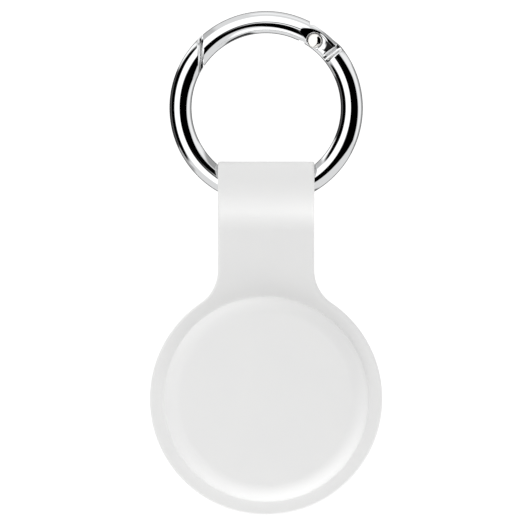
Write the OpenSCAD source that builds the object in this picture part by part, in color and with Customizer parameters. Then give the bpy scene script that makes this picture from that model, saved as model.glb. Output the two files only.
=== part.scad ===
// Tracker tag holder: a silicone pocket that hangs by its folded strap from a spring-gate ring.
// Millimetres. The origin is the ring's centre, X is to the right, Z up, and the front faces -Y.

/* [Ring] */
// Inner diameter of the ring
ring_inner_d = 25.7; // [23:0.1:36]
// Diameter of the round wire that the ring and its gate are cast to
wire_d = 3.8; // [3.5:0.1:4.8]

/* [Hinge] */
// Angle of the hinge pin round the ring, counted from the right
hinge_angle = 54.1; // [46:0.1:62]
// How far the pin lies inside the wire's middle line
pin_inset = 0.55; // [0.1:0.05:0.6]
// Diameter of the rivet's pin
pin_d = 1.3; // [1:0.05:1.5]
// Radial clearance of the pin in the fork, where it is riveted
rivet_fit = 0.02; // [0.01:0.01:0.03]
// Radial clearance of the pin in the tongue, which turns on it
pin_clear = 0.05; // [0.02:0.01:0.1]
// Diameter of the rivet's heads
head_d = 2.48; // [2.2:0.02:2.6]
// Height of a head's crown above the fork's flats
head_t = 0.45; // [0.4:0.01:0.6]
// Radius of the dome that a head is pressed to
head_dome_r = 3.8; // [3.6:0.1:5]
// How far the dome's crown leans to the right of the pin
head_lean = 0.6; // [0:0.05:0.7]
// Gap between a head and the wall of its recess
recess_clear = 0.18; // [0.1:0.01:0.3]
// Depth of the recess that each head lies in
recess_depth = 0.22; // [0.15:0.01:0.3]
// Thickness of the fork across its flats
fork_t = 3; // [2.7:0.05:3.3]
// Width of the fork's slot
slot_w = 1.7; // [1.4:0.05:1.9]
// Clearance between the tongue and each side of the slot
tongue_side_clear = 0.1; // [0.05:0.01:0.15]
// Distance from the pin to the fork's end
fork_reach = 3.18; // [2.8:0.01:3.6]
// Distance from the pin to the bottom of the slot
slot_reach = 2.25; // [2.15:0.01:2.6]
// Distance from the pin to where the flats start to run out, on the gate's side
flat_run = 0.6; // [0.3:0.05:1.5]
// Radius of the curve that the flats run out in
flat_run_r = 6.4; // [4:0.1:9]
// Gap between the fork's end and the ring's shoulder
shoulder_gap = 0.9; // [0.8:0.05:1.3]
// Bevel on the shoulder and on the fork's end
hinge_bevel = 0.2; // [0.05:0.05:0.3]
// How far the flat heel of the fork lies below the ring's outline, at its middle
heel_drop = 0.2; // [0.1:0.01:0.4]
// How far the tongue's back lies below the heel
tongue_drop = 0.12; // [0.05:0.01:0.2]
// Diameter of the notch where the heel meets the round gate
notch_d = 0.8; // [0.5:0.05:1]
// Radius of the tongue's nose where the plunger rides on it
cam_r = 1.4; // [1.3:0.01:1.45]
// How far that nose is set off the pin, towards the ring's inside
cam_offset = 0.5; // [0.3:0.01:0.55]
// Radius of the tongue's nose on its outer side
nose_r = 1.6; // [1.4:0.05:1.7]
// How far the outer nose is set off the pin, towards the ring's outside
nose_offset = 0.6; // [0.4:0.05:0.65]

/* [Latch] */
// Angle of the latch round the ring, counted from the right
latch_angle = 139.4; // [130:0.1:150]
// Slant of the latch's cut against the radius
latch_slant = 47.8; // [30:0.1:52]
// Gap between the two latch faces, at the wire's middle
latch_gap = 0.34; // [0.2:0.01:0.4]
// Angle by which the gap widens outwards
latch_wedge = 3; // [0:0.1:4]
// Bevel on the front and back of the latch faces
latch_bevel = 0.35; // [0.1:0.05:0.5]
// Thickness of the tongue on the ring body's latch face
latch_tongue_t = 1; // [0.6:0.05:1.4]
// How far the tongue reaches past the middle of the latch gap
latch_tongue_l = 0.3; // [0.2:0.01:0.5]
// Clearance of that tongue in the gate's groove
latch_tongue_clear = 0.12; // [0.08:0.01:0.2]

/* [Spring and plunger] */
// How far the gate turns inwards when it is pushed right open
gate_travel = 35; // [20:1:35]
// Distance of the plunger's line from the pin
plunger_offset = 0.6; // [0.5:0.01:0.65]
// Diameter of the plunger
plunger_d = 1.1; // [0.9:0.05:1.15]
// Length of the plunger's rod behind its round tip
plunger_l = 1.6; // [1.3:0.05:1.9]
// Diameter of the plunger's tail, which holds the spring's end
tail_d = 0.46; // [0.3:0.02:0.5]
// Length of the plunger's tail
tail_l = 0.8; // [0.5:0.05:1]
// Clearance between the plunger's tip and the tongue's nose
tip_clear = 0.05; // [0.03:0.01:0.08]
// Radial clearance of the plunger and the spring in their bore
bore_clear = 0.1; // [0.05:0.01:0.12]
// Depth of the bore below the slot
bore_depth = 4.6; // [4:0.1:5]
// Thickness of the spring's wire
spring_wire = 0.18; // [0.14:0.01:0.2]
// Turns of the spring
spring_turns = 4.5; // [3:0.5:4.5]
// Clearance at the spring's two ends when it is squeezed
spring_clear = 0.03; // [0.02:0.01:0.05]

/* [Strap] */
// Width of the strap and the neck
strap_w = 16.6; // [13:0.1:20]
// Wall of the strap where it runs over the ring
strap_wall = 0.9; // [0.7:0.05:1.4]
// Clearance between the ring and the strap's inside
ring_clear = 0.14; // [0.1:0.01:0.4]
// Length of the flare at each end of the strap's tunnel
mouth_l = 0.6; // [0.4:0.05:0.9]
// Height from the tunnel's middle to where the strap's two layers lie flat
taper_l = 7.8; // [7:0.1:11]
// Share of that height where the strap's outside turns from round to hollow
taper_share = 0.58; // [0.45:0.01:0.68]
// Height of the open gusset below the tunnel's middle
gusset_l = 6.1; // [5.2:0.1:6.6]
// Width of the open gusset at its foot
gusset_w = 0.6; // [0.4:0.05:1]
// Length of the flat neck, from the strap's taper to the flare
neck_l = 6.7; // [3:0.1:20]
// Radius of the flare between the neck and the flange
flare_r = 6.8; // [4:0.1:12]

/* [Pocket] */
// Diameter of the tag that the pocket holds
tag_d = 31.9; // [28:0.1:36]
// Thickness of the tag
tag_t = 8; // [7:0.1:9]
// Clearance round the tag
tag_clear = 0.1; // [0:0.05:0.3]
// Wall round the pocket
pocket_wall = 1.5; // [1:0.1:2.5]
// Wall of the pocket at the middle of its front
front_wall = 1; // [0.8:0.1:2]
// Wall of the lip round the opening at the back
lip_t = 1; // [0.8:0.1:2]
// Height of the crown on the front
crown_h = 0.6; // [0.3:0.05:1]
// Radius of the front's shoulder
front_round = 3; // [2:0.1:3.4]
// Radius of the back's shoulder
back_round = 1.9; // [1:0.1:2.2]
// Radius inside the pocket's front corner
inner_front_round = 3; // [0.8:0.1:3.2]
// Radius inside the pocket's back corner
inner_back_round = 1.5; // [0.8:0.1:1.9]
// Diameter of the round opening at the back
opening_d = 25; // [20:0.1:27]
// Rounding of the opening's edge
opening_bevel = 0.3; // [0.1:0.05:0.45]
// Distance that the pocket stands in front of the flange's middle
pocket_front = 4.5; // [3.8:0.1:5]

/* [Flange] */
// Width of the flange round the pocket
flange_w = 2.45; // [1.5:0.05:5]
// Thickness of each of the flange's two layers
layer_t = 1.2; // [0.8:0.05:1.6]
// Gap where the strap's tail meets the back layer
seam_gap = 0.1; // [0.05:0.05:0.3]

/* [Hidden] */
$fn = 96;
// How far every cut runs past what it cuts
overrun = 1;

// Ring
wire_r = wire_d / 2;
ring_inner_r = ring_inner_d / 2;
ring_r = ring_inner_r + wire_r;
ring_outer_r = ring_inner_r + wire_d;

// Hinge
pin_r = ring_r - pin_inset;
tongue_t = slot_w - 2 * tongue_side_clear;
fork_end_angle = hinge_angle - asin(fork_reach / pin_r);
shoulder_angle = fork_end_angle - 2 * asin(shoulder_gap / 2 / ring_r);
notch_angle = hinge_angle + asin((slot_reach - notch_d / 2) / pin_r);
heel_angle = (fork_end_angle + notch_angle) / 2;
heel_r = ring_outer_r - heel_drop;
nose_angle = hinge_angle + asin((nose_r + overrun) / pin_r);
head_foot = fork_t / 2 - recess_depth;

// Latch
latch_span = 2 * asin(wire_r * tan(latch_slant) / ring_inner_r);
latch_cut = 2 * wire_d;

// Spring and plunger: the tip stands where the tongue's nose pushes it when the gate is right open
tip_r = plunger_d / 2;
tip_reach = cam_r + tip_r + tip_clear;
tip_open = cam_offset * sin(gate_travel)
    + sqrt(pow(tip_reach, 2) - pow(plunger_offset - cam_offset * cos(gate_travel), 2));
bore_d = plunger_d + 2 * bore_clear;
spring_foot = slot_reach + bore_depth - spring_clear;
spring_head = tip_open + plunger_l + spring_clear;
spring_r = (plunger_d - spring_wire) / 2;
spring_pitch = (spring_foot - spring_head - spring_wire) / spring_turns;
spring_sides = 6;
spring_rings = 12;
spring_steps = round(spring_turns * spring_rings);

// Strap, from the ring that passes through it
strap_half = strap_w / 2;
mouth_x = strap_half - mouth_l;
wire_top = sqrt(pow(ring_inner_r, 2) - pow(mouth_x, 2));
tunnel_z = -(ring_outer_r + wire_top) / 2;
tunnel_r = (ring_outer_r - wire_top) / 2 + ring_clear;
mouth_r = ring_clear - tunnel_z - sqrt(pow(ring_inner_r, 2) - pow(strap_half, 2));
loop_r = tunnel_r + strap_wall;
taper_in = loop_r - layer_t;
taper_angle = 2 * atan(taper_in / taper_l);
taper_convex_r = taper_share * taper_l / sin(taper_angle);
taper_hollow_r = (1 - taper_share) * taper_l / sin(taper_angle);
taper_turn_z = tunnel_z - taper_share * taper_l;
flat_z = tunnel_z - taper_l;
flare_z = flat_z - neck_l;
// The gusset starts inside the tunnel, at these shares of the tunnel's radius
gusset_drop_share = 0.5;
gusset_half_share = 0.8;
gusset_top_z = tunnel_z - gusset_drop_share * tunnel_r;
gusset_top_w = 2 * gusset_half_share * tunnel_r;

// Pocket and flange
pocket_r = tag_d / 2 + tag_clear;
pocket_back = tag_t - pocket_front;
dome_r = pocket_r + pocket_wall;
disc_r = dome_r + flange_w;
disc_z = flare_z - sqrt(pow(disc_r + flare_r, 2) - pow(strap_half + flare_r, 2));
flare_share = disc_r / (disc_r + flare_r);
flare_foot = [flare_share * (strap_half + flare_r), disc_z + flare_share * (flare_z - disc_z)];
front_h = pocket_front + front_wall;
back_h = pocket_back + lip_t;
crown_x = dome_r - front_round;
crown_r = (pow(crown_x, 2) + pow(crown_h, 2)) / (2 * crown_h);
// The crown is a small part of a large circle, so that circle gets finer steps
crown_fn = 1440;

// Lays what is drawn in the ring's own plane upright, with its top to the front
module in_ring_plane() {
    rotate([90, 0, 0]) children();
}

// A frame on the ring's plane: X along the radius outwards, Y along the ring
module on_ring(angle, radius) {
    rotate([0, 0, angle]) translate([radius, 0, 0]) children();
}

// A stretch of the ring's wire between two angles
module wire_arc(from, to) {
    rotate([0, 0, from]) rotate_extrude(angle = to - from) translate([ring_r, 0]) circle(d = wire_d);
}

// A block that reaches the same way to both sides of X and Z, between two values of Y
module slab(half_x, y_from, y_to, half_z) {
    translate([-half_x, y_from, -half_z]) cube([2 * half_x, y_to - y_from, 2 * half_z]);
}

// Everything beyond a height on both faces of the ring, between two values of Y
module both_faces(half_x, y_from, y_to, height) {
    for (side = [0, 1]) mirror([0, 0, side])
        translate([-half_x, y_from, height]) cube([2 * half_x, y_to - y_from, wire_d]);
}

// Cuts the edges between an end at Y = 0, with the piece below it, and the ring's two faces
module end_bevels(size, height) {
    for (side = [0, 1]) mirror([0, 0, side]) rotate([90, 0, 90])
        linear_extrude(4 * wire_d, center = true) polygon([
            [-2 * size, height + size], [size, height - 2 * size], [size, height + size]
        ]);
}

// The far side of one latch face, with its bevels
module latch_side() {
    slab(latch_cut, 0, latch_cut, wire_d);
    end_bevels(latch_bevel, wire_r);
}

// The tongue between the latch faces, or its groove when a clearance is given
module latch_tongue(clear) {
    slab(latch_cut, -latch_tongue_l - clear, latch_gap, latch_tongue_t / 2 + clear);
}

// The frame of the latch's slanted cut: X along the cut outwards, Y towards the ring body
module at_latch() {
    on_ring(latch_angle, ring_r) rotate([0, 0, -latch_slant]) children();
}

// The outline that the tongue's nose keeps, round the hinge pin
module nose_outline() {
    translate([-cam_offset, 0]) circle(r = cam_r);
    translate([nose_offset, 0]) circle(r = nose_r);
}

module ring_body() {
    color("silver") in_ring_plane() difference() {
        wire_arc(latch_angle - latch_span, 360 + nose_angle);
        at_latch() difference() {
            translate([0, latch_gap / 2, 0]) mirror([0, 1, 0]) latch_side();
            latch_tongue(0);
        }
        on_ring(shoulder_angle, ring_r) {
            both_faces(wire_d, 0, 2 * wire_d, tongue_t / 2);
            end_bevels(hinge_bevel, wire_r);
        }
        on_ring(heel_angle, heel_r - tongue_drop)
            translate([0, -wire_d, -wire_d]) cube([wire_d, 2 * wire_d, 2 * wire_d]);
        on_ring(hinge_angle, pin_r) {
            linear_extrude(wire_d, center = true) difference() {
                translate([-wire_d, 0]) square([2 * wire_d, wire_d]);
                nose_outline();
            }
            cylinder(r = pin_d / 2 + pin_clear, h = wire_d, center = true);
        }
    }
}

// What is cut off each face of the fork: the flat with its run-out, and the head's recess
module fork_faces() {
    both_faces(wire_d, -wire_d - fork_reach, flat_run, fork_t / 2);
    for (side = [0, 1]) mirror([0, 0, side]) {
        translate([0, flat_run, fork_t / 2 + flat_run_r]) rotate([0, 90, 0])
            cylinder(r = flat_run_r, h = 2 * wire_d, center = true);
        translate([0, 0, head_foot]) cylinder(r = head_d / 2 + recess_clear, h = wire_d);
    }
}

module gate() {
    color("gainsboro") in_ring_plane() difference() {
        wire_arc(fork_end_angle, latch_angle + latch_span);
        at_latch() {
            translate([0, -latch_gap / 2, 0]) rotate([0, 0, latch_wedge]) latch_side();
            latch_tongue(latch_tongue_clear);
        }
        on_ring(hinge_angle, pin_r) {
            slab(wire_d, -wire_d - fork_reach, slot_reach, slot_w / 2);
            fork_faces();
            cylinder(r = pin_d / 2 + rivet_fit, h = wire_d, center = true);
            translate([-plunger_offset, slot_reach - overrun, 0]) rotate([-90, 0, 0])
                cylinder(d = bore_d, h = bore_depth + overrun);
        }
        on_ring(fork_end_angle, ring_r) mirror([0, 1, 0]) end_bevels(hinge_bevel, fork_t / 2);
        on_ring(heel_angle, heel_r) translate([0, -wire_d, -wire_d])
            cube([wire_d, wire_d + heel_r * sin(notch_angle - heel_angle), 2 * wire_d]);
        on_ring(notch_angle, heel_r + heel_drop / 2) cylinder(d = notch_d, h = wire_d, center = true);
    }
}

// One head of the rivet, from the foot of its recess to its crown
module rivet_head() {
    intersection() {
        translate([0, 0, head_foot]) cylinder(d = head_d, h = recess_depth + head_t);
        translate([head_lean, 0, fork_t / 2 + head_t - head_dome_r]) sphere(r = head_dome_r);
    }
}

module hinge_rivet() {
    color("lightgray") in_ring_plane() on_ring(hinge_angle, pin_r) rotate([0, 0, -hinge_angle]) {
        cylinder(d = pin_d, h = 2 * head_foot + recess_depth, center = true);
        for (side = [0, 1]) mirror([0, 0, side]) rivet_head();
    }
}

// The line of the plunger and its spring: Z runs from beside the pin into the gate
module on_plunger_line() {
    in_ring_plane() on_ring(hinge_angle, pin_r)
        translate([-plunger_offset, 0, 0]) rotate([-90, 0, 0]) children();
}

module spring_plunger() {
    color("darkgray") on_plunger_line() translate([0, 0, tip_open]) {
        sphere(r = tip_r);
        cylinder(r = tip_r, h = plunger_l);
        translate([0, 0, plunger_l / 2]) cylinder(d = tail_d, h = plunger_l / 2 + tail_l);
    }
}

// A point on the spring's coil, and one on the skin of its wire
function coil_turn(i) = 360 * i / spring_rings;
function coil_z(i) = spring_head + spring_wire / 2 + spring_pitch * i / spring_rings;
function coil_centre(i) = [spring_r * cos(coil_turn(i)), spring_r * sin(coil_turn(i)), coil_z(i)];
function coil_skin(i, side) =
    let (around = 360 * side / spring_sides, out = spring_r + spring_wire / 2 * cos(around))
    [out * cos(coil_turn(i)), out * sin(coil_turn(i)), coil_z(i) + spring_wire / 2 * sin(around)];

// The coil as one tube, with a fan of triangles closing each end
module coil_tube() {
    points = [for (i = [0 : spring_steps], s = [0 : spring_sides - 1]) coil_skin(i, s)];
    first = len(points);
    function at(i, s) = i * spring_sides + s % spring_sides;
    skin = [for (i = [0 : spring_steps - 1], s = [0 : spring_sides - 1])
        each [[at(i, s), at(i, s + 1), at(i + 1, s)], [at(i, s + 1), at(i + 1, s + 1), at(i + 1, s)]]];
    start = [for (s = [0 : spring_sides - 1]) [first, at(0, s + 1), at(0, s)]];
    end = [for (s = [0 : spring_sides - 1])
        [first + 1, at(spring_steps, s), at(spring_steps, s + 1)]];
    polyhedron(concat(points, [coil_centre(0), coil_centre(spring_steps)]),
        concat(skin, start, end));
}

// The least gap between two turns of the coil, measured on its points
coil_gap = min([for (i = [0 : spring_steps - spring_rings])
    norm(coil_centre(i + spring_rings) - coil_centre(i)) - spring_wire]);
echo(coil_gap = coil_gap);

module gate_spring() {
    color("dimgray") on_plunger_line() coil_tube();
}

// Carries an outline drawn in Y and Z across the strap's width
module across(width) {
    rotate([90, 0, 90]) linear_extrude(width, center = true) children();
}

// Carries an outline drawn in X and Z from one depth to another
module upright(y_from, y_to) {
    translate([0, y_to, 0]) rotate([90, 0, 0]) linear_extrude(y_to - y_from) children();
}

// Turns a profile, drawn with its height along Y, about the pocket's middle: 1 back, -1 front
module round_pocket(side) {
    translate([0, 0, disc_z]) rotate([-90 * side, 0, 0]) rotate_extrude() children();
}

// A level band of the strap's side view, between two heights
module band(z_from, z_to) {
    translate([-loop_r - overrun, z_from]) square([2 * (loop_r + overrun), z_to - z_from]);
}

// Side view of the folded strap: round over the ring, then drawn in to two flat layers
module strap_side() {
    intersection() {
        translate([0, tunnel_z]) circle(r = loop_r);
        band(tunnel_z, tunnel_z + loop_r + overrun);
    }
    intersection() {
        translate([taper_convex_r - loop_r, tunnel_z]) circle(r = taper_convex_r);
        translate([loop_r - taper_convex_r, tunnel_z]) circle(r = taper_convex_r);
        band(taper_turn_z, tunnel_z);
    }
    difference() {
        band(flat_z, taper_turn_z);
        for (side = [-1, 1])
            translate([side * (layer_t + taper_hollow_r), flat_z]) circle(r = taper_hollow_r);
        for (side = [0, 1]) mirror([side, 0])
            translate([layer_t + taper_hollow_r, flat_z]) square([loop_r, taper_l]);
    }
    translate([-layer_t, flare_z]) square([2 * layer_t, flat_z - flare_z]);
}

// Side view of what the strap leaves open: the tunnel for the ring and the gusset below it
module strap_hole() {
    translate([0, tunnel_z]) circle(r = tunnel_r);
    polygon([
        [-gusset_top_w / 2, gusset_top_z], [gusset_top_w / 2, gusset_top_z],
        [gusset_w / 2, tunnel_z - gusset_l], [-gusset_w / 2, tunnel_z - gusset_l]
    ]);
}

// The flare on the right, between the neck's side and the flange's edge
module flare() {
    difference() {
        polygon([[0, flare_z], [strap_half + flare_r, flare_z], flare_foot, [0, flare_foot[1]]]);
        translate([strap_half + flare_r, flare_z]) circle(r = flare_r);
    }
}

// Front view of a layer of the flange with its two flares
module flange_outline() {
    translate([0, disc_z]) circle(r = disc_r);
    for (side = [0, 1]) mirror([side, 0]) flare();
}

// Half profile of the front: a crowned top with a round shoulder
module front_profile() {
    shoulder_h = front_h - crown_r + sqrt(pow(crown_r - front_round, 2) - pow(crown_x, 2));
    tangent_share = crown_r / (crown_r - front_round);
    tangent_h = front_h - crown_r + tangent_share * (shoulder_h - front_h + crown_r);
    square([dome_r, shoulder_h]);
    intersection() {
        translate([crown_x, shoulder_h]) circle(r = front_round);
        square([dome_r, front_h]);
    }
    intersection() {
        translate([0, front_h - crown_r]) circle(r = crown_r, $fn = crown_fn);
        square([tangent_share * crown_x, front_h]);
    }
}

// Half profile of a flat-topped round solid with a round shoulder
module round_profile(radius, height, corner) {
    square([radius - corner, height]);
    square([radius, height - corner]);
    intersection() {
        translate([radius - corner, height - corner]) circle(r = corner);
        square([radius, height]);
    }
}

module front_cover() {
    color("whitesmoke") difference() {
        union() {
            across(strap_w) strap_side();
            upright(-layer_t, 0) {
                flange_outline();
                translate([-strap_half, flare_z]) square([strap_w, neck_l]);
            }
            round_pocket(-1) front_profile();
        }
        across(strap_w + overrun) strap_hole();
        for (side = [0, 1]) mirror([side, 0, 0])
            translate([mouth_x, 0, tunnel_z]) rotate([0, 90, 0])
                cylinder(r1 = tunnel_r, r2 = mouth_r, h = mouth_l);
        round_pocket(-1) round_profile(pocket_r, pocket_front, inner_front_round);
    }
}

module back_cover() {
    color("white") difference() {
        union() {
            upright(0, layer_t) intersection() {
                flange_outline();
                translate([-disc_r - overrun, disc_z - disc_r - overrun])
                    square([2 * (disc_r + overrun), flare_z - seam_gap - disc_z + disc_r + overrun]);
            }
            round_pocket(1) round_profile(dome_r, back_h, back_round);
        }
        round_pocket(1) round_profile(pocket_r, pocket_back, inner_back_round);
        translate([0, 0, disc_z]) rotate([-90, 0, 0]) {
            cylinder(d = opening_d, h = back_h + overrun);
            translate([0, 0, back_h - opening_bevel])
                cylinder(d1 = opening_d, d2 = opening_d + 2 * opening_bevel, h = opening_bevel);
        }
    }
}

ring_body();
gate();
hinge_rivet();
spring_plunger();
gate_spring();
front_cover();
back_cover();
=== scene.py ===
"""Looks of a tracker tag holder: a white silicone pocket on a chromed spring-gate ring.

The file follows the object as it is put together, from the ring inwards to its spring, then the
two silicone mouldings, then the studio that they are photographed in. Lengths are in metres.
"""

import math

import bpy
import numpy as np
from mathutils import Matrix, Vector


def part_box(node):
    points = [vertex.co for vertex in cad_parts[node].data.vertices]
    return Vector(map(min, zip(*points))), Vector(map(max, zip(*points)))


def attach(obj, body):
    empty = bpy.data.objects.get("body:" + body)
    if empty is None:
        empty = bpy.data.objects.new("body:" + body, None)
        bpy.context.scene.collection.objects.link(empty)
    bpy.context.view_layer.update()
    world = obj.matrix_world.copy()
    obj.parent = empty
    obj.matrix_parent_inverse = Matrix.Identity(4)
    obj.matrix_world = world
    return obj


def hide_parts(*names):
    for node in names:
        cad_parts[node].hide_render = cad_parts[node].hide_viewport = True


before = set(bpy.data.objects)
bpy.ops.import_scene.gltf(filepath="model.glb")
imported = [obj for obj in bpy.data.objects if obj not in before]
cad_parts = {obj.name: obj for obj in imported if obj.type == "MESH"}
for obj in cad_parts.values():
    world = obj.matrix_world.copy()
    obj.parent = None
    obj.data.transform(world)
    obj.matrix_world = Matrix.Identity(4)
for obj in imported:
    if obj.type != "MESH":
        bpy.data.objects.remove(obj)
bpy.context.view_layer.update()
mm = 0.001

# The view: straight on to the front, from far enough away that the ring's and the pocket's sides
# don't show. The whole object fills the picture's height, as it does on a product page.
picture_w, picture_h = 522, 530
picture_scale = 0.1722 * mm  # size of one picture element at the object
view_middle = (-0.88 * mm, -27.07 * mm)  # X and Z at the middle of the picture
view_distance = 1.3
sensor_w = 36

camera = bpy.data.objects.new("camera", bpy.data.cameras.new("camera"))
bpy.context.scene.collection.objects.link(camera)
camera.location = (view_middle[0], -view_distance, view_middle[1])
camera.rotation_euler = (math.radians(90), 0, 0)
camera.data.sensor_width = sensor_w
camera.data.lens = sensor_w * view_distance / (max(picture_w, picture_h) * picture_scale)
camera.data.clip_start = 0.05
camera.data.clip_end = 20
bpy.context.scene.camera = camera

# The ring body: a C of round wire, die-cast in zinc, polished and chromed. One end is the slanted
# latch face, the other a shoulder with the flat tongue that the gate's fork turns on. Casting and
# polishing leave every edge slightly round, so the whole piece is one skin round a distance rule.
ring_inner_r = 12.85 * mm
wire_r = 1.9 * mm
ring_r = ring_inner_r + wire_r
ring_outer_r = ring_inner_r + 2 * wire_r
latch_angle, latch_slant = 139.4, 47.8
latch_side = -ring_r / 4  # further in, the latch's planes would cut the ring's far side
latch_gap = 0.34 * mm
latch_bevel = 0.35 * mm
latch_tongue_t, latch_tongue_l = 1.0 * mm, 0.3 * mm
hinge_angle = 54.1
pin_inset = 0.55 * mm
pin_r = ring_r - pin_inset
hinge_side = -pin_r / 2  # further in, the hinge's planes would
pin_hole_r = 0.68 * mm
fork_reach = 3.18 * mm
shoulder_gap = 0.9 * mm
hinge_bevel = 0.2 * mm
tongue_t = 1.5 * mm
heel_drop = 0.2 * mm
tongue_drop = 0.12 * mm
cam_r, cam_offset = 1.4 * mm, 0.5 * mm
nose_r, nose_offset = 1.6 * mm, 0.6 * mm
cast_round, bevel_round = 0.09 * mm, 0.07 * mm
shoulder_fillet = 0.55 * mm
slot_reach = 2.25 * mm
notch_r = 0.4 * mm
fork_end_angle = hinge_angle - math.degrees(math.asin(fork_reach / pin_r))
shoulder_angle = fork_end_angle - 2 * math.degrees(math.asin(shoulder_gap / 2 / ring_r))
notch_angle = hinge_angle + math.degrees(math.asin((slot_reach - notch_r) / pin_r))
heel_angle = (fork_end_angle + notch_angle) / 2
heel_r = ring_outer_r - heel_drop


def rounded(a, b, radius):
    """What two solids share, with the edge between them rounded"""
    both = np.hypot(np.maximum(a + radius, 0), np.maximum(b + radius, 0))
    return np.minimum(np.maximum(a, b), -radius) + both


def joined(a, b, radius):
    """Two solids as one, with a fillet where they meet"""
    return -rounded(-a, -b, radius)


def onward(x, z, angle, radius):
    """A place on the ring's plane, seen from a point of the ring: outwards, and on round it"""
    c, s = math.cos(math.radians(angle)), math.sin(math.radians(angle))
    return x * c + z * s - radius, z * c - x * s


def wire_distance(x, y, z):
    """How far a place lies outside the round wire's skin, and as a negative number how deep in it"""
    return np.hypot(np.hypot(x, z) - ring_r, y) - wire_r


def bevelled(end, skin, size, slope=45):
    """An end face whose edge with the piece's skin is cut off all the way round"""
    lean = math.radians(slope)
    cut = (end + size) * math.sin(lean) + skin * math.cos(lean)
    return rounded(end, cut, bevel_round)


def latch_axes(x, z):
    """A place seen from the latch's middle: outwards, along the slanted face and across it"""
    out, on = onward(x, z, latch_angle, ring_r)
    slant = math.radians(latch_slant)
    along = out * math.cos(slant) - on * math.sin(slant)
    across = out * math.sin(slant) + on * math.cos(slant)
    return out, along, across


def ring_latch_distance(x, y, z, wire):
    """The ring body's slanted latch face with its short tongue"""
    out, _, across = latch_axes(x, z)
    face = bevelled(latch_gap / 2 - across, wire, latch_bevel)
    tongue = rounded(np.abs(y) - latch_tongue_t / 2, -latch_tongue_l - across, cast_round)
    return np.where(out > latch_side, joined(face, tongue, cast_round), -wire_r)


def ring_hinge_distance(x, y, z, wire):
    """The shoulder and the flat tongue, with the cam for the plunger and the rivet's hole"""
    _, on = onward(x, z, shoulder_angle, ring_r)
    shoulder = bevelled(on, wire, hinge_bevel)
    heel = onward(x, z, heel_angle, heel_r - tongue_drop)[0]
    out, on = onward(x, z, hinge_angle, pin_r)
    cam = np.hypot(out + cam_offset, on) - cam_r
    nose = joined(cam, np.hypot(out - nose_offset, on) - nose_r, cast_round)
    outline = rounded(np.minimum(nose, on), heel, cast_round)
    tongue = rounded(np.abs(y) - tongue_t / 2, outline, cast_round)
    hinge = rounded(wire, joined(shoulder, tongue, shoulder_fillet), bevel_round)
    hinge = np.maximum(hinge, pin_hole_r - np.hypot(out, on))
    return np.where(out > hinge_side, hinge, wire)


def ring_body_distance(x, y, z):
    """The wire, cut to the latch at one end and to the hinge at the other"""
    wire = wire_distance(x, y, z)
    hinge = ring_hinge_distance(x, y, z, wire)
    latch = ring_latch_distance(x, y, z, wire)
    return rounded(hinge, latch, bevel_round)


def linear(colour):
    """An sRGB hex colour as the linear values that a shader takes"""
    parts = [int(colour[i : i + 2], 16) / 255 for i in (0, 2, 4)]
    return [p / 12.92 if p <= 0.04045 else ((p + 0.055) / 1.055) ** 2.4 for p in parts] + [1]


def add_node(tree, kind, links=(), settings=(), **values):
    """Adds a node with its own settings, its sockets' values and its links, and returns it"""
    node = tree.nodes.new(kind)
    for name, value in dict(settings).items():
        setattr(node, name, value)
    for name, value in values.items():
        node.inputs[name.replace("_", " ")].default_value = value
    for name, socket in dict(links).items():
        tree.links.new(socket, node.inputs[name])
    return node


def new_material(name):
    """An empty material, with its node tree and its output"""
    material = bpy.data.materials.new(name)
    material.use_nodes = True
    material.node_tree.nodes.clear()
    return material, material.node_tree, add_node(material.node_tree, "ShaderNodeOutputMaterial")


def bright_chrome():
    """Buffed zinc with bright chrome plating: a cool mirror with a faint haze from handling and
    the slight ripple of a casting, and satin in the gaps, where no polishing wheel reaches"""
    material, tree, output = new_material("bright_chrome")
    place = add_node(tree, "ShaderNodeTexCoord").outputs["Object"]
    haze = add_node(tree, "ShaderNodeTexNoise", {"Vector": place}, Scale=1 / (2.5 * mm), Detail=4)
    rough = add_node(tree, "ShaderNodeMapRange", {"Value": haze.outputs["Fac"]},
                     From_Min=0.35, From_Max=0.75, To_Min=0.01, To_Max=0.03)
    gap = add_node(tree, "ShaderNodeAttribute", (), {"attribute_name": "gap"}).outputs["Fac"]
    rough = add_node(tree, "ShaderNodeMix", {"Factor": gap, "A": rough.outputs["Result"]}, B=0.42)
    ripple = add_node(tree, "ShaderNodeTexNoise", {"Vector": place}, Scale=1 / (0.6 * mm), Detail=2)
    bump = add_node(tree, "ShaderNodeBump", {"Height": ripple.outputs["Fac"]},
                    Strength=0.05, Distance=0.004 * mm)
    shader = add_node(tree, "ShaderNodeBsdfPrincipled",
                      {"Roughness": rough.outputs["Result"], "Normal": bump.outputs["Normal"]},
                      Base_Color=linear("E9EAEB"), Metallic=1)
    tree.links.new(shader.outputs["BSDF"], output.inputs["Surface"])
    return material


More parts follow.
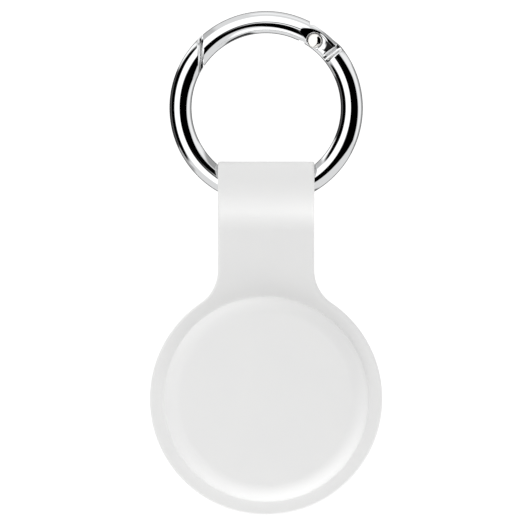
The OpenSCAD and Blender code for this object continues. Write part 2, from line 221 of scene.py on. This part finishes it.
def skin_of(distance, low, high, step):
    """Points and quads of the surface of a solid, one point in each grid cell that it crosses"""
    before, after = 1.5 * step, 2.5 * step
    axes = [np.arange(a - before, b + after, step) for a, b in zip(low, high)]
    inside = distance(*np.meshgrid(*axes, indexing="ij", sparse=True)) < 0
    cells = tuple(n - 1 for n in inside.shape)
    corners_in = np.zeros(cells, np.int8)
    for i, j, k in np.ndindex(2, 2, 2):
        corners_in += inside[i : cells[0] + i, j : cells[1] + j, k : cells[2] + k]
    crossed = (corners_in > 0) & (corners_in < 8)
    number = np.zeros(cells, np.int32)
    number[crossed] = np.arange(np.count_nonzero(crossed))
    start = [axis[0] + step / 2 for axis in axes]
    points = np.argwhere(crossed) * step + start
    quads = []
    for axis in range(3):
        order = (axis, (axis + 1) % 3, (axis + 2) % 3)
        grid, cell = inside.transpose(order)[:, 1:-1, 1:-1], number.transpose(order)
        for leaves, facing in ((grid[:-1] & ~grid[1:], 1), (grid[1:] & ~grid[:-1], -1)):
            i, j, k = np.nonzero(leaves)
            around = [cell[i, j, k], cell[i, j + 1, k], cell[i, j + 1, k + 1], cell[i, j, k + 1]]
            quads.append(np.stack(around, 1)[:, ::facing])
    return points, np.concatenate(quads)


def slope_of(distance, points, reach):
    """Direction in which the distance grows fastest, at each point"""
    steps = np.eye(3) * reach
    rise = [distance(*(points + s).T) - distance(*(points - s).T) for s in steps]
    return np.stack(rise, 1) / (2 * reach)


def settled(distance, points, reach, rounds=4):
    """The points, moved square to the surface until they lie on it"""
    least_steepness, longest_move = 0.2, 8 * reach
    for _ in range(rounds):
        slope = slope_of(distance, points, reach)
        steepness = np.maximum((slope**2).sum(1), least_steepness)
        move = np.clip(distance(*points.T) / steepness, -longest_move, longest_move)
        points = points - move[:, None] * slope
    return points


def evened(points, quads):
    """The points, each moved to the middle of its neighbours"""
    ends = [(quads[:, i], quads[:, (i + 1) % 4]) for i in range(4)]
    here = np.concatenate([a for a, b in ends] + [b for a, b in ends])
    there = np.concatenate([b for a, b in ends] + [a for a, b in ends])
    count = np.bincount(here, minlength=len(points))
    sums = [np.bincount(here, points[there, i], len(points)) for i in range(3)]
    return np.stack(sums, 1) / np.maximum(count, 1)[:, None]


def formed(name, distance, node, step, most_triangles, material):
    """A smooth closed piece on the surface where the distance is zero, inside a CAD node's box"""
    quick_share, evening_rounds = 1.4, 3
    step = step
    reach = step / 4
    points, quads = skin_of(distance, *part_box(node), step)
    points = settled(distance, points, reach)
    for _ in range(evening_rounds):
        points = settled(distance, evened(points, quads), reach, rounds=2)
    mesh = bpy.data.meshes.new(name)
    mesh.from_pydata(points.tolist(), [], quads.tolist())
    piece = bpy.data.objects.new(name, mesh)
    bpy.context.scene.collection.objects.link(piece)
    if 2 * len(quads) > most_triangles:
        thin = piece.modifiers.new("thin", "DECIMATE")
        thin.ratio = most_triangles / (2 * len(quads))
        applied(piece)
    mesh = piece.data
    points = np.empty(3 * len(mesh.vertices))
    mesh.vertices.foreach_get("co", points)
    points = settled(distance, points.reshape(-1, 3), reach, rounds=3)
    mesh.vertices.foreach_set("co", points.ravel())
    mesh.update()
    mesh.shade_smooth()
    normals = slope_of(distance, points, reach)
    normals /= np.linalg.norm(normals, axis=1)[:, None]
    mesh.normals_split_custom_set_from_vertices(normals.tolist())
    mesh.materials.append(material)
    return piece


def applied(piece):
    """Turns a piece's modifiers into its mesh"""
    depsgraph = bpy.context.evaluated_depsgraph_get()
    mesh = bpy.data.meshes.new_from_object(piece.evaluated_get(depsgraph))
    piece.modifiers.clear()
    piece.data = mesh
    return piece


def polished_outside(piece):
    """Marks how far each point lies in a gap, below the wire's round skin, and keeps the piece
    out of its own mirror image, whose lines are finer than the picture can show"""
    gap_from, gap_full = 0.5 * mm, 0.9 * mm
    points = np.array([v.co[:] for v in piece.data.vertices])
    gap = np.interp(-wire_distance(*points.T), (gap_from, gap_full), (0, 1))
    piece.data.attributes.new("gap", "FLOAT", "POINT").data.foreach_set("value", gap)
    piece.visible_glossy = False


chrome = bright_chrome()
ring_body = formed("chromed_ring", ring_body_distance, "ring_body", step=0.085 * mm,
                   most_triangles=180000, material=chrome)
polished_outside(ring_body)
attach(ring_body, "ring")
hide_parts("ring_body")

# The gate: the short arc that opens inwards, cast and chromed like the ring body. Its fork holds
# the rivet. The fork's two flats have a shallow dish round each rivet head and run out in a
# slant towards the latch, and its heel ends in a notch.
fork_t = 3.0 * mm
slot_w = 1.7 * mm
fork_side = -ring_r / 4  # left of this the gate is plain wire up to the latch
# how far past the pin the flats start to run out, and the slant's slope and turn in degrees
run_start, run_slope, run_turn = 0.59 * mm, 9.9, 11.2
dish_r, dish_depth = 1.85 * mm, 0.18 * mm
dish_sphere_r = (dish_r**2 + dish_depth**2) / (2 * dish_depth)
recess_r, recess_depth = 1.42 * mm, 0.22 * mm
end_rounds = (0.6 * mm, 0.3 * mm)  # of the fork's end, at the wire's inner and outer side
flat_rounds = (0.25 * mm, 0.04 * mm)  # of the flats' edges, at the two places below
flat_round_from, flat_round_to = 0.4 * mm, 2.0 * mm  # past the pin, towards the latch
latch_wedge = 3.0  # degrees between the two latch faces
gate_latch_bevel, gate_bevel_slope = 0.25 * mm, 30
tongue_clear = 0.12 * mm
bore_r, bore_depth = 0.65 * mm, 4.6 * mm
plunger_offset = 0.6 * mm
gate_foot = 5.0 * mm  # nothing of the gate lies below this height


def gate_latch_distance(x, y, z, wire):
    """The gate's slanted latch face, with the groove that takes the ring body's tongue"""
    out, along, across = latch_axes(x, z)
    wedge = math.radians(latch_wedge)
    face = (across + latch_gap / 2) * math.cos(wedge) - along * math.sin(wedge)
    face = bevelled(face, wire, gate_latch_bevel, gate_bevel_slope)
    groove_side = np.abs(y) - latch_tongue_t / 2 - tongue_clear
    groove = np.maximum(groove_side, -latch_tongue_l - tongue_clear - across)
    return np.where(out > latch_side, rounded(face, -groove, cast_round), -wire_r)


def heel_distance(x, z):
    """The flat heel, a little below the wire's top, and the round notch that ends it"""
    out, on = onward(x, z, heel_angle, heel_r)
    notch_on = heel_r * math.sin(math.radians(notch_angle - heel_angle))
    heel = joined(out, notch_on - on, cast_round)
    out, on = onward(x, z, notch_angle, heel_r + heel_drop / 2)
    return rounded(heel, notch_r - np.hypot(out, on), cast_round)


def cheek_distance(out, side, on):
    """The fork's flats, with the dish and the recess round each rivet head, and their run-out"""
    from_pin = np.hypot(out, on)
    dish = dish_sphere_r - np.hypot(from_pin, side - fork_t / 2 + dish_depth - dish_sphere_r)
    flat = rounded(side - fork_t / 2, dish, cast_round)
    recess = np.maximum(from_pin - recess_r, fork_t / 2 - recess_depth - side)
    lean, turn = math.radians(run_slope), math.radians(run_turn)
    from_start = on * math.cos(turn) + out * math.sin(turn) - run_start
    run_out = (side - fork_t / 2) * math.cos(lean) - from_start * math.sin(lean)
    return rounded(np.minimum(flat, run_out), -recess, bevel_round)


def gate_hollow_distance(out, y, on):
    """The slot that the tongue turns in, and the blind bore for the plunger and the spring"""
    slot = np.maximum(on - slot_reach, np.abs(y) - slot_w / 2)
    bore = np.maximum(np.hypot(out + plunger_offset, y) - bore_r, on - slot_reach - bore_depth)
    return np.minimum(slot, np.maximum(bore, slot_reach / 2 - on))


def gate_distance(x, y, z):
    """The wire, cut to the fork at one end and to the latch at the other"""
    wire = wire_distance(x, y, z)
    out, on = onward(x, z, hinge_angle, pin_r)
    end_out, end_on = onward(x, z, fork_end_angle, ring_r)
    end_round = np.interp(end_out, (-wire_r / 2, wire_r / 2), end_rounds)
    cheek = rounded(-end_on, cheek_distance(out, np.abs(y), on), end_round)
    flat_round = np.interp(on, (flat_round_from, flat_round_to), flat_rounds)
    fork = rounded(rounded(wire, cheek, flat_round), heel_distance(x, z), cast_round)
    fork = rounded(fork, -gate_hollow_distance(out, y, on), cast_round)
    fork = rounded(fork, pin_hole_r - np.hypot(out, on), bevel_round)
    latch = gate_latch_distance(x, y, z, wire)
    gate_skin = rounded(np.where(x > fork_side, fork, wire), latch, bevel_round)
    return np.maximum(gate_skin, gate_foot - z)


gate = formed("chromed_gate", gate_distance, "gate", step=0.076 * mm,
              most_triangles=180000, material=chrome)
polished_outside(gate)
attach(gate, "gate")
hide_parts("gate")

# The hinge rivet: a nickel-plated steel pin through the fork and the tongue. Each head lies in a
# round recess and is pressed to a low dome. The riveting punch leaves it steeper on the right,
# with a ridge between the two slopes.
hinge_turn = math.radians(hinge_angle)
pin_x, pin_z = pin_r * math.cos(hinge_turn), pin_r * math.sin(hinge_turn)
rivet_r, head_r = 0.65 * mm, 1.24 * mm
head_round = 0.18 * mm
# each slope's radius, the way its crown leans to the right, and its height over the flat
punch_domes = ((4.4 * mm, 0.9 * mm, 0.468 * mm), (2.13 * mm, 0.1 * mm, 0.4876 * mm))
ridge_round = 0.01 * mm


def rivet_distance(x, y, z):
    """The pin and its two heads"""
    side, from_pin = np.abs(y), np.hypot(x - pin_x, z - pin_z)
    domes = []
    for dome_r, lean, top in punch_domes:
        from_crown = np.hypot(x - pin_x - lean, z - pin_z)
        domes.append(np.hypot(from_crown, side - fork_t / 2 - top + dome_r) - dome_r)
    head = rounded(from_pin - head_r, rounded(*domes, ridge_round), head_round)
    head = np.maximum(head, fork_t / 2 - recess_depth - side)
    return np.minimum(head, np.maximum(from_pin - rivet_r, side - fork_t / 2))


def plated_steel():
    """Nickel-plated steel: warmer and a touch duller than chrome, with a haze from the barrel
    that small parts are plated in"""
    material, tree, output = new_material("nickel_plated_steel")
    place = add_node(tree, "ShaderNodeTexCoord").outputs["Object"]
    haze = add_node(tree, "ShaderNodeTexNoise", {"Vector": place}, Scale=1 / (0.4 * mm), Detail=3)
    rough = add_node(tree, "ShaderNodeMapRange", {"Value": haze.outputs["Fac"]},
                     From_Min=0.3, From_Max=0.7, To_Min=0.03, To_Max=0.07)
    shader = add_node(tree, "ShaderNodeBsdfPrincipled", {"Roughness": rough.outputs["Result"]},
                      Base_Color=linear("E4E2DE"), Metallic=1)
    tree.links.new(shader.outputs["BSDF"], output.inputs["Surface"])
    return material


steel = plated_steel()
rivet = formed("rivet", rivet_distance, "hinge_rivet", step=0.04 * mm,
               most_triangles=60000, material=steel)
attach(rivet, "gate")
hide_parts("hinge_rivet")

# The plunger: a small ground steel pusher in the gate's bore, with a thin tail that holds the
# spring's end. It stands where the tongue's cam pushes its round tip with the gate wide open.
plunger_r, plunger_l = 0.55 * mm, 1.6 * mm
tail_r, tail_l = 0.23 * mm, 0.8 * mm
plunger_round = 0.05 * mm
gate_travel = math.radians(35)
tip_clear = 0.05 * mm
tip_reach = cam_r + plunger_r + tip_clear
tip_aside = plunger_offset - cam_offset * math.cos(gate_travel)
tip_at = cam_offset * math.sin(gate_travel) + math.sqrt(tip_reach**2 - tip_aside**2)


def plunger_distance(x, y, z):
    """The round-tipped rod and its thin tail"""
    out, on = onward(x, z, hinge_angle, pin_r)
    radius, along = np.hypot(out + plunger_offset, y), on - tip_at
    tip = np.hypot(radius, np.minimum(along, 0)) - plunger_r
    rod = rounded(tip, along - plunger_l, plunger_round)
    tail = rounded(radius - tail_r, along - plunger_l - tail_l, plunger_round)
    return np.minimum(rod, np.maximum(tail, plunger_l / 2 - along))


plunger = formed("plunger", plunger_distance, "spring_plunger", step=0.035 * mm,
                 most_triangles=40000, material=steel)
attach(plunger, "gate")
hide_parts("spring_plunger")

# The gate's spring: four and a half turns of hard-drawn stainless wire, cut square at both ends.
# It lies in the bore behind the plunger and pushes the gate shut.
spring_turns, spring_wire_r = 4.5, 0.09 * mm
spring_coil_r = plunger_r - spring_wire_r
spring_clear = 0.03 * mm
spring_foot = slot_reach + bore_depth - spring_clear - spring_wire_r
spring_head = tip_at + plunger_l + spring_clear + spring_wire_r


def wire_steel():
    """Drawn stainless spring wire: grey and satin, with a mottle from the drawing soap"""
    material, tree, output = new_material("drawn_spring_wire")
    place = add_node(tree, "ShaderNodeTexCoord").outputs["Object"]
    mottle = add_node(tree, "ShaderNodeTexNoise", {"Vector": place}, Scale=1 / (0.08 * mm), Detail=2)
    rough = add_node(tree, "ShaderNodeMapRange", {"Value": mottle.outputs["Fac"]},
                     From_Min=0.3, From_Max=0.7, To_Min=0.18, To_Max=0.32)
    shader = add_node(tree, "ShaderNodeBsdfPrincipled", {"Roughness": rough.outputs["Result"]},
                      Base_Color=linear("B9BABC"), Metallic=1)
    tree.links.new(shader.outputs["BSDF"], output.inputs["Surface"])
    return material


def coil_tree():
    """Geometry nodes for a compression spring that stands on Z = 0"""
    tree = bpy.data.node_groups.new("compression_spring", "GeometryNodeTree")
    sockets = (("Turns", "Float"), ("Coil Radius", "Float"), ("Height", "Float"),
               ("Wire Radius", "Float"), ("Material", "Material"))
    for name, kind in sockets:
        tree.interface.new_socket(name, in_out="INPUT", socket_type="NodeSocket" + kind)
    tree.interface.new_socket("Geometry", in_out="OUTPUT", socket_type="NodeSocketGeometry")
    sizes = add_node(tree, "NodeGroupInput").outputs
    path = add_node(tree, "GeometryNodeCurveSpiral",
                    {"Rotations": sizes["Turns"], "Start Radius": sizes["Coil Radius"],
                     "End Radius": sizes["Coil Radius"], "Height": sizes["Height"]}, Resolution=48)
    section = add_node(tree, "GeometryNodeCurvePrimitiveCircle",
                       {"Radius": sizes["Wire Radius"]}, Resolution=14)
    tube = add_node(tree, "GeometryNodeCurveToMesh",
                    {"Curve": path.outputs["Curve"], "Profile Curve": section.outputs["Curve"]},
                    Fill_Caps=True)
    smooth = add_node(tree, "GeometryNodeSetShadeSmooth", {"Geometry": tube.outputs["Mesh"]})
    real = add_node(tree, "GeometryNodeRealizeInstances", {"Geometry": smooth.outputs["Geometry"]})
    finish = add_node(tree, "GeometryNodeSetMaterial",
                      {"Geometry": real.outputs["Geometry"], "Material": sizes["Material"]})
    add_node(tree, "NodeGroupOutput", {"Geometry": finish.outputs["Geometry"]})
    return tree


def from_tree(name, tree, **sizes):
    """A plain mesh piece made by a tree, whose named inputs are set by their identifiers"""
    piece = bpy.data.objects.new(name, bpy.data.meshes.new(name))
    bpy.context.scene.collection.objects.link(piece)
    making = piece.modifiers.new("making", "NODES")
    making.node_group = tree
    for socket in tree.interface.items_tree:
        if socket.in_out == "INPUT":
            making[socket.identifier] = sizes[socket.name.replace(" ", "_")]
    return applied(piece)


spring = from_tree("gate_coil", coil_tree(), Turns=spring_turns, Coil_Radius=spring_coil_r,
                   Height=spring_foot - spring_head, Wire_Radius=spring_wire_r,
                   Material=wire_steel())
hinge_frame = Matrix.Translation((pin_x, 0, pin_z)) @ Matrix.Rotation(-hinge_turn, 4, "Y")
spring.data.transform(hinge_frame @ Matrix.Translation((-plunger_offset, 0, spring_head)))
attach(spring, "gate")
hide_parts("gate_spring")

# The two silicone mouldings. The front one carries the domed pocket, the front layer of the
# flange, the neck and the strap that folds over the ring. The back one closes the pocket and is
# bonded to the front one along the flange.
strap_half, strap_wall = 8.3 * mm, 0.9 * mm
mouth_r, mouth_l = 3.72 * mm, 0.6 * mm
ring_clear = 0.14 * mm
wire_top = math.sqrt(ring_inner_r**2 - (strap_half - mouth_l) ** 2)
tunnel_z = -(ring_outer_r + wire_top) / 2
tunnel_r = (ring_outer_r - wire_top) / 2 + ring_clear
loop_r = tunnel_r + strap_wall
taper_l, taper_share = 7.8 * mm, 0.58
layer_t = 1.2 * mm
neck_l, flare_r = 6.7 * mm, 6.8 * mm
gusset_l, gusset_half = 6.1 * mm, 0.3 * mm
gusset_top_share, gusset_fillet, tunnel_round = 0.8, 0.2 * mm, 0.1 * mm
disc_r, dome_r, pocket_r = 20.0 * mm, 17.55 * mm, 16.05 * mm
front_h, crown_h, front_round = 5.5 * mm, 0.6 * mm, 3.0 * mm
back_h, back_round = 4.5 * mm, 1.9 * mm
pocket_front, pocket_back = 4.5 * mm, 3.5 * mm
inner_front_round, inner_back_round = 3.0 * mm, 1.5 * mm
opening_r = 12.5 * mm
seam_gap = 0.1 * mm
edge_round = 0.38 * mm
seam_round = 0.15 * mm
foot_round = 0.25 * mm
taper_angle = 2 * math.atan((loop_r - layer_t) / taper_l)
convex_r = taper_share * taper_l / math.sin(taper_angle)
hollow_r = (1 - taper_share) * taper_l / math.sin(taper_angle)
flat_z = tunnel_z - taper_l
flare_z = flat_z - neck_l
disc_z = flare_z - math.sqrt((disc_r + flare_r) ** 2 - (strap_half + flare_r) ** 2)
crown_x = dome_r - front_round
crown_r = (crown_x**2 + crown_h**2) / (2 * crown_h)


def outline_distance(x, z):
    """The flange's outline seen from the front: the disc, the neck and the two flares"""
    side = np.abs(x)
    disc = np.hypot(x, z - disc_z) - disc_r
    flare = flare_r - np.hypot(side - strap_half - flare_r, z - flare_z)
    by_flare = (strap_half + flare_r) * (z - disc_z) > (flare_z - disc_z) * side
    return np.where(z > flare_z, side - strap_half, np.where(by_flare, flare, disc))


def strap_side_distance(y, z):
    """The folded strap seen from the side: round over the ring, then drawn in to two flat layers"""
    depth = np.abs(y)
    convex = np.hypot(depth + convex_r - loop_r, z - tunnel_z) - convex_r
    hollow = hollow_r - np.hypot(depth - layer_t - hollow_r, z - flat_z)
    centres_apart = layer_t + hollow_r + convex_r - loop_r
    past_bend = (depth + convex_r - loop_r) * taper_l + centres_apart * (z - tunnel_z)
    taper = np.where(past_bend > 0, convex, hollow)
    top = np.hypot(y, z - tunnel_z) - loop_r
    return np.where(z > tunnel_z, top, np.where(z > flat_z, taper, depth - layer_t))


def strap_hole_distance(x, y, z):
    """What the strap leaves open: the ring's tunnel, with flared mouths, and the gusset below it"""
    flare = np.clip((np.abs(x) - strap_half + mouth_l) / mouth_l, 0, 1) ** 2
    tunnel = np.hypot(y, z - tunnel_z) - tunnel_r - (mouth_r - tunnel_r) * flare
    top = tunnel_z - tunnel_r / 2
    foot = tunnel_z - gusset_l
    widening = gusset_top_share * tunnel_r - gusset_half
    half = gusset_half + widening * (z - foot) / (top - foot)
    lean = math.atan(widening / (top - foot))
    gusset = rounded((np.abs(y) - half) * math.cos(lean), foot - z, gusset_half / 2)
    return joined(tunnel, np.maximum(gusset, z - top), gusset_fillet)


def front_distance(x, y, z):
    """The front moulding: the flange's front layer, the domed pocket, the neck and the strap"""
    from_axis, depth = np.hypot(x, z - disc_z), -y
    layer = rounded(depth - layer_t, outline_distance(x, z), edge_round)
    layer = rounded(layer, np.maximum(-depth, z - flat_z), seam_round)
    crown = np.hypot(from_axis, depth - front_h + crown_r) - crown_r
    dome = np.maximum(rounded(from_axis - dome_r, crown, front_round), -depth)
    cavity = rounded(from_axis - pocket_r, depth - pocket_front, inner_front_round)
    body = rounded(joined(layer, dome, foot_round), -cavity, seam_round)
    strap = rounded(strap_side_distance(y, z), np.abs(x) - strap_half, edge_round)
    strap = rounded(strap, flare_z - z, seam_round)
    strap = rounded(strap, -strap_hole_distance(x, y, z), tunnel_round)
    return np.minimum(body, strap)


def back_distance(x, y, z):
    """The back moulding: the flange's back layer, the pocket's wall and the tag's opening"""
    from_axis = np.hypot(x, z - disc_z)
    outline = rounded(outline_distance(x, z), z - flare_z + seam_gap, seam_round)
    layer = rounded(rounded(y - layer_t, outline, edge_round), -y, seam_round)
    wall = np.maximum(rounded(from_axis - dome_r, y - back_h, back_round), -y)
    body = joined(layer, wall, foot_round)
    cavity = rounded(from_axis - pocket_r, y - pocket_back, inner_back_round)
    body = rounded(body, -cavity, seam_round)
    return rounded(body, opening_r - from_axis, edge_round)


def matte_silicone():
    """Moulded white silicone rubber: soft and matte, from a tool with a fine spark-eroded grain,
    which is drawn coarser than the real one so that it shows"""
    material, tree, output = new_material("matte_silicone")
    place = add_node(tree, "ShaderNodeTexCoord").outputs["Object"]
    grain = add_node(tree, "ShaderNodeTexNoise", {"Vector": place}, Scale=1 / (0.12 * mm), Detail=3)
    waves = add_node(tree, "ShaderNodeTexNoise", {"Vector": place}, Scale=1 / (6 * mm), Detail=2)
    rough = add_node(tree, "ShaderNodeMapRange", {"Value": waves.outputs["Fac"]},
                     From_Min=0.3, From_Max=0.7, To_Min=0.52, To_Max=0.62)
    tint = add_node(tree, "ShaderNodeMix", {"Factor": waves.outputs["Fac"]}, {"data_type": "RGBA"})
    tint.inputs["A"].default_value = linear("EEEEEE")
    tint.inputs["B"].default_value = linear("F1F1F0")
    bump = add_node(tree, "ShaderNodeBump", {"Height": grain.outputs["Fac"]},
                    Strength=0.25, Distance=0.01 * mm)
    shader = add_node(tree, "ShaderNodeBsdfPrincipled",
                      {"Base Color": tint.outputs["Result"], "Roughness": rough.outputs["Result"],
                       "Normal": bump.outputs["Normal"]}, IOR=1.41)
    shader.inputs["Sheen Weight"].default_value = 0.08
    tree.links.new(shader.outputs["BSDF"], output.inputs["Surface"])
    return material


silicone = matte_silicone()
front = formed("front_moulding", front_distance, "front_cover", step=0.18 * mm,
               most_triangles=190000, material=silicone)
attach(front, "holder")
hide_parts("front_cover")
back = formed("back_moulding", back_distance, "back_cover", step=0.18 * mm,
              most_triangles=160000, material=silicone)
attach(back, "holder")
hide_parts("back_cover")

# The studio: a white floor well below the hanging holder, the same white all round it, and even
# light with soft lamps, strongest from below. A round cloth tent, which only polished metal
# mirrors, carries white panels and black flags.
floor_z = -110 * mm
tent_r = 4.0
tent_segments, tent_rings = 240, 120
ambient, paper_level, tent_level = 0.752, 1.1, 0.84
edge_start, edge_full, edge_level = 130, 158, 0.02
white, grey, black = 1.35, 0.40, 0.0
# each panel's brightness, the width of its soft edge in degrees, and its corners, in degrees to
# the right of the lens and up from it
panels = (
    # main white panel
    (white, 3, ((10, 0), (8, 22), (26, 46), (30, 60), (0, 66), (-30, 60), (-54, 38), (-64, 10),
                (-62, -22), (-50, -40), (-24, -48), (0, -20))),
    # black flag on the right, with a lobe downwards
    (black, 3, ((-10, 5), (-3, 4), (0.5, 4), (3, 5.5), (7, 12), (12, 22), (22, 38), (32, 42),
                (43, 31), (62, 23), (69, 0), (75, -27), (60, -30), (35, -29), (18, -32), (9, -37),
                (0, -50), (-20, -58), (-28, -50), (-5.5, -11), (0, -10), (2.5, -5.5), (0.5, -2.5),
                (-4, -4.5), (-10, -6))),
    # black flag on the left
    (black, 8, ((-44, 42), (-58, 33), (-64, 17), (-66, 0), (-62, -28), (-66, -43), (-88, -58),
                (-104, -44), (-112, 0), (-108, 45), (-97, 57), (-80, 62), (-60, 56))),
    # grey flag on the far left
    (0.06, 8, ((-106, 48), (-112, 0), (-104, -44), (-136, -62), (-160, 0), (-140, 74))),
    # pale panel on the right, and the grey one behind it
    (1.05, 8, ((88, -30), (78, 0), (72, 24), (54, 34), (50, 46), (98, 66), (116, 30), (120, 0),
               (112, -42))),
    (0.45, 8, ((110, -54), (115, 0), (104, 54), (136, 76), (165, 0), (140, -76))),
    # grey flag on the upper right
    (grey, 8, ((44, 44), (36, 52), (90, 124), (126, 90))),
    # white strip at the top
    (1.08, 8, ((52, 76), (20, 88), (-14, 90), (-18, 106), (0, 112), (60, 94))),
    # white strip at the upper left
    (white, 6, ((-50, 50), (-62, 62), (-82, 69), (-104, 62), (-142, 68), (-112, 104))),
    # grey strip at the upper left
    (0.58, 6, ((-38, 60), (-50, 50), (-105, 102), (-82, 125))),
    # white panel below
    (white, 8, ((-36, -64), (-22, -56), (0, -58), (20, -50), (45, -78), (36, -98), (0, -105),
                (-38, -95))),
    # black flag below
    (0.03, 12, ((22, -98), (60, -98), (84, -122), (20, -142))),
    # grey flag at the lower left
    (0.45, 6, ((-88, -60), (-72, -60), (-112, -98), (-138, -60), (-106, -48))),
)
# each lamp's turn round the line of sight, its angle from the lens, and its strength
lamps = ((270, 88, 0.43), (270, 60, 0.56), (90, 88, 0.30), (135, 88, 0.67), (315, 88, 0.46))
lamp_spread = 40


def depth_inside(places, outline):
    """How far places lie inside an outline, and as a negative number how far outside"""
    nearest, inside = np.inf, np.zeros(len(places), bool)
    for a, b in zip(outline, outline[1:] + outline[:1]):
        edge, from_a = np.subtract(b, a), places - a
        share = np.clip(from_a @ edge / (edge @ edge), 0, 1)
        nearest = np.minimum(nearest, np.linalg.norm(from_a - share[:, None] * edge, axis=1))
        beside = (places[:, 1] > a[1]) != (places[:, 1] > b[1])
        to_left = (from_a[:, 0] * edge[1] < from_a[:, 1] * edge[0]) != (edge[1] < 0)
        inside ^= beside & to_left
    return np.where(inside, nearest, -nearest)


def towards(turn, away):
    """A direction: turn is its angle round the line of sight from the right, away from the lens"""
    a, b = math.radians(turn), math.radians(away)
    return Vector((math.cos(a) * math.sin(b), -math.cos(b), math.sin(a) * math.sin(b)))


def shining(name, level=None):
    """Paper or cloth that shines evenly, or as strongly as its mesh's glow attribute says"""
    material, tree, output = new_material(name)
    light = add_node(tree, "ShaderNodeEmission")
    if level is None:
        glow = add_node(tree, "ShaderNodeAttribute", (), {"attribute_name": "glow"})
        tree.links.new(glow.outputs["Fac"], light.inputs["Strength"])
    else:
        light.inputs["Strength"].default_value = level
    tree.links.new(light.outputs["Emission"], output.inputs["Surface"])
    return material


def stage_piece(name, make_mesh, material, seen_by, **size):
    """Something of the studio, seen only by the named kind of ray"""
    make_mesh(**size)
    piece = bpy.context.object
    piece.name = name
    piece.data.materials.append(material)
    for ray in ("camera", "diffuse", "glossy", "transmission", "volume_scatter", "shadow"):
        setattr(piece, "visible_" + ray, ray == seen_by)
    return piece


stage_piece("floor", bpy.ops.mesh.primitive_plane_add, shining("pale_floor", paper_level),
            "camera", size=2 * tent_r, location=(0, 0, floor_z))
tent = stage_piece("tent", bpy.ops.mesh.primitive_uv_sphere_add, shining("tent_cloth"),
                   "glossy", radius=tent_r, segments=tent_segments, ring_count=tent_rings)
ways = np.array([v.co[:] for v in tent.data.vertices]) / tent_r
from_lens = np.degrees(np.arccos(np.clip(-ways[:, 1], -1, 1)))
least_off = 1e-9
off_axis = np.maximum(np.hypot(ways[:, 0], ways[:, 2]), least_off)
places = ways[:, (0, 2)] * (from_lens / off_axis)[:, None]
glow = np.full(len(ways), tent_level)
for brightness, soft_edge, outline in panels:
    share = np.clip(depth_inside(places, outline) / soft_edge + 0.5, 0, 1)
    glow += (brightness - glow) * share**2 * (3 - 2 * share)
glow += (edge_level - glow) * np.interp(from_lens, (edge_start, edge_full), (0, 1))
tent.data.attributes.new("glow", "FLOAT", "POINT").data.foreach_set("value", glow)

world = bpy.data.worlds.new("studio")
bpy.context.scene.world = world
world.use_nodes = True
straight = add_node(world.node_tree, "ShaderNodeLightPath").outputs["Is Camera Ray"]
room = add_node(world.node_tree, "ShaderNodeMix", {"Factor": straight}, A=ambient, B=paper_level)
background = world.node_tree.nodes["Background"]
world.node_tree.links.new(room.outputs["Result"], background.inputs["Color"])
for turn, away, energy in lamps:
    lamp = bpy.data.objects.new(f"soft_lamp_{turn}_{away}", bpy.data.lights.new("soft_lamp", "SUN"))
    bpy.context.scene.collection.objects.link(lamp)
    lamp.data.energy = energy
    lamp.data.angle = math.radians(lamp_spread)
    lamp.rotation_euler = (-towards(turn, away)).to_track_quat("-Z", "Y").to_euler()
    lamp.visible_glossy = False
bpy.context.scene.view_settings.view_transform = "Standard"
